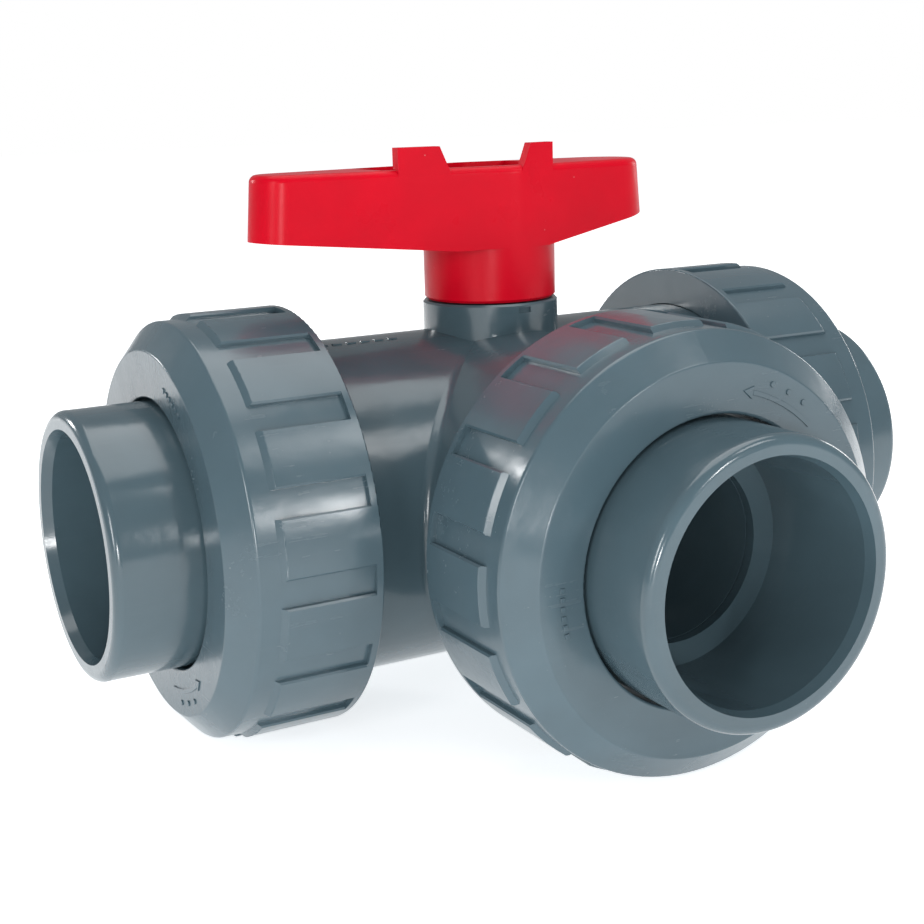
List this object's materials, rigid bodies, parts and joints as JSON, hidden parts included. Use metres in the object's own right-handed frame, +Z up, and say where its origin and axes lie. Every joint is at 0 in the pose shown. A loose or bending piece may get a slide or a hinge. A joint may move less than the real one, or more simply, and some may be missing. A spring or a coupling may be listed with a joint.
{
  "type": "three way ball valve",
  "caption": "Plastic three-way ball valve: tee-shaped body, ribbed union nuts with plain pipe sockets on every port, and a red lever handle on a round stem boss.",
  "frame": {"origin": "centre of the ball, where the axes of the ports and of the stem cross", "axes": "+Z up along the stem towards the handle, port_a leaves along -X, port_b along -Y, port_c along +X"},
  "size_m": [0.266, 0.1934, 0.1638],
  "materials": {
    "body_plastic": "satin",
    "nut_plastic": "satin",
    "handle_plastic": "satin",
    "ball_plastic": "polished",
    "seat_plastic": "smooth",
    "seal_rubber": "matt"
  },
  "bodies": {
    "body_group": {"valve_body": "body_plastic", "ball_seat_a": "seat_plastic", "ball_seat_b": "seat_plastic", "ball_seat_c": "seat_plastic", "ball_seat_blind": "seat_plastic", "seat_cushion_a": "seal_rubber", "seat_cushion_b": "seal_rubber", "seat_cushion_c": "seal_rubber", "seat_cushion_blind": "seal_rubber", "seat_carrier_a": "body_plastic", "seat_carrier_b": "body_plastic", "seat_carrier_c": "body_plastic", "carrier_o_ring_a": "seal_rubber", "carrier_o_ring_b": "seal_rubber", "carrier_o_ring_c": "seal_rubber", "face_o_ring_a": "seal_rubber", "face_o_ring_b": "seal_rubber", "face_o_ring_c": "seal_rubber"},
    "stem_group": {"stem": "ball_plastic", "stem_washer": "seat_plastic", "stem_o_ring_lower": "seal_rubber", "stem_o_ring_upper": "seal_rubber"},
    "ball_group": {"ball": "ball_plastic"},
    "handle_group": {"handle": "handle_plastic"},
    "end_a": {"union_end_a": "body_plastic"},
    "end_b": {"union_end_b": "body_plastic"},
    "end_c": {"union_end_c": "body_plastic"},
    "nut_a": {"union_nut_a": "nut_plastic"},
    "nut_b": {"union_nut_b": "nut_plastic"},
    "nut_c": {"union_nut_c": "nut_plastic"}
  },
  "joints": [
    {"name": "stem_turn", "type": "hinge", "parent": "body_group", "child": "stem_group", "pos_m": [0, 0, 0.05], "axis": [0, 0, 1], "range_deg": [0, 180]},
    {"name": "ball_turn", "type": "hinge", "parent": "body_group", "child": "ball_group", "pos_m": [0, 0, 0], "axis": [0, 0, 1], "range_deg": [0, 180]},
    {"name": "handle_lift", "type": "slide", "parent": "stem_group", "child": "handle_group", "axis": [0, 0, 1], "range_m": [0, 0.026]},
    {"name": "nut_a_turn", "type": "hinge", "parent": "end_a", "child": "nut_a", "pos_m": [-0.09, 0, 0], "axis": [-1, 0, 0], "range_deg": [0, 1440]},
    {"name": "nut_b_turn", "type": "hinge", "parent": "end_b", "child": "nut_b", "pos_m": [0, -0.09, 0], "axis": [0, -1, 0], "range_deg": [0, 1440]},
    {"name": "nut_c_turn", "type": "hinge", "parent": "end_c", "child": "nut_c", "pos_m": [0.09, 0, 0], "axis": [1, 0, 0], "range_deg": [0, 1440]},
    {"name": "union_a_slide", "type": "slide", "parent": "body_group", "child": "end_a", "axis": [-1, 0, 0], "range_m": [0, 0.024]},
    {"name": "union_b_slide", "type": "slide", "parent": "body_group", "child": "end_b", "axis": [0, -1, 0], "range_m": [0, 0.024]},
    {"name": "union_c_slide", "type": "slide", "parent": "body_group", "child": "end_c", "axis": [1, 0, 0], "range_m": [0, 0.024]}
  ],
  "couplings": [
    {"joint": "ball_turn", "follows": "stem_turn", "ratio": 1},
    {"joint": "union_a_slide", "follows": "nut_a_turn", "m_per_rad": 0.00095493},
    {"joint": "union_b_slide", "follows": "nut_b_turn", "m_per_rad": 0.00095493},
    {"joint": "union_c_slide", "follows": "nut_c_turn", "m_per_rad": 0.00095493}
  ]
}
